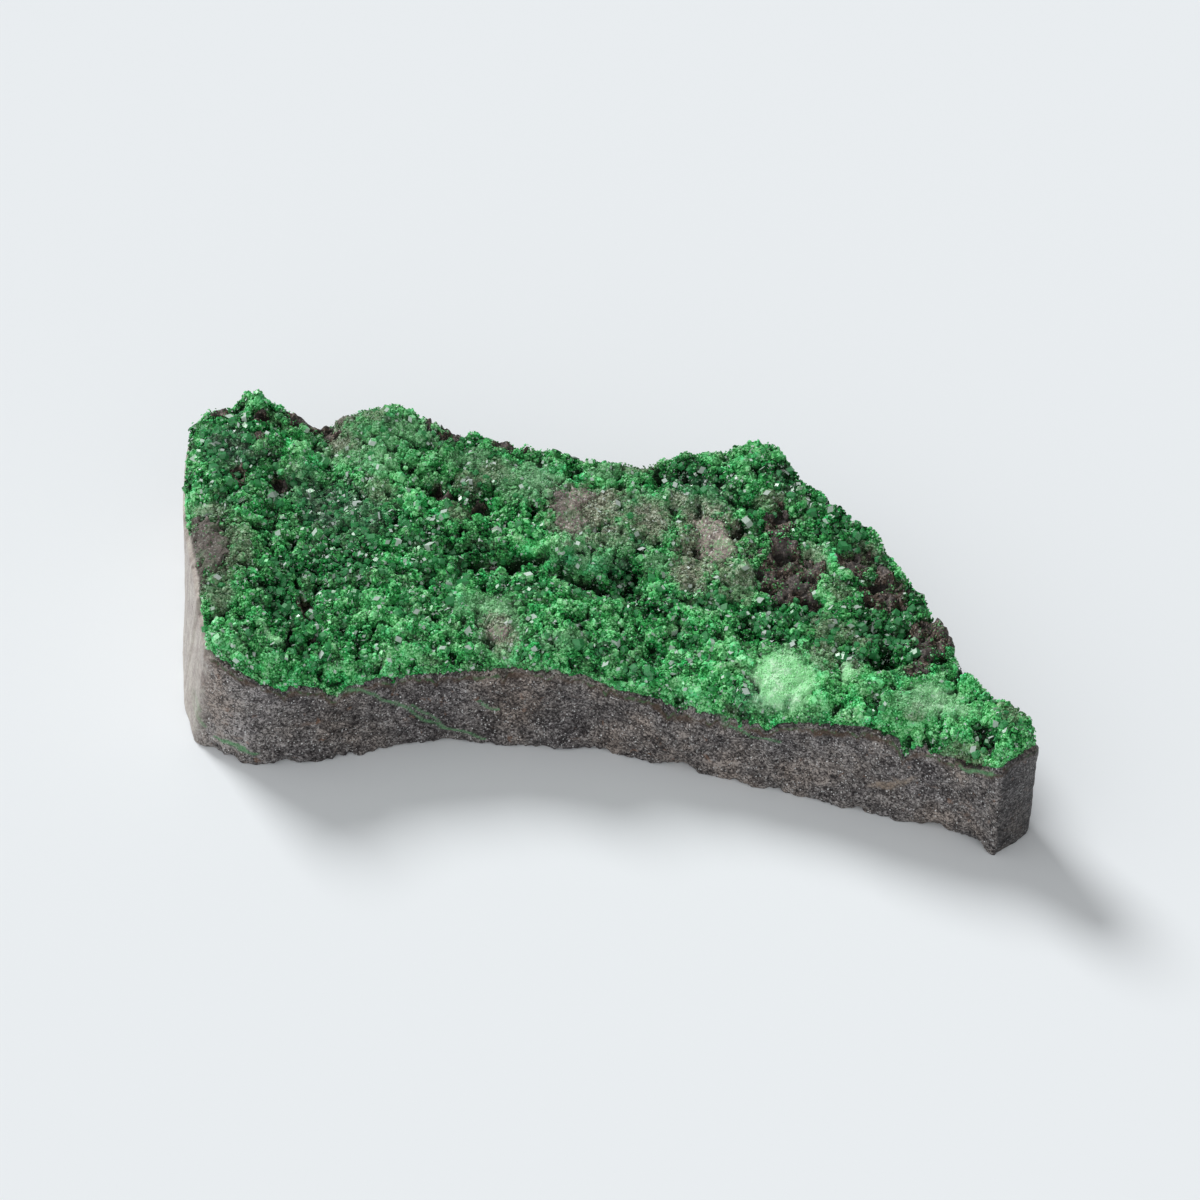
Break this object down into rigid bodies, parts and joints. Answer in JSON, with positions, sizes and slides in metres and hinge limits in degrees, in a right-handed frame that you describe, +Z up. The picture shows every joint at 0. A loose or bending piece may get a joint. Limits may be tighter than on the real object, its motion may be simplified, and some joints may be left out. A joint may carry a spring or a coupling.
{
  "type": "uvarovite garnet specimen",
  "caption": "Broken slab of dark chromite rock, its top grown over with a sparkling crust of small emerald-green garnet crystals; rests on its sawn flat underside.",
  "frame": {"origin": "middle of the specimen's bounding box in plan, on the sawn underside that it rests on", "axes": "+X along the slab's length, from the wide sawn end to the narrow broken tip; +Y from the long hollow front wall to the back; +Z up, out of the crystal-covered face"},
  "size_m": [0.0722, 0.0432, 0.0137],
  "materials": {
    "chromite_rock": "matte",
    "uvarovite": "gloss"
  },
  "bodies": {
    "root": {"chromite_matrix": "chromite_rock", "uvarovite_druse": "uvarovite"}
  },
  "joints": []
}
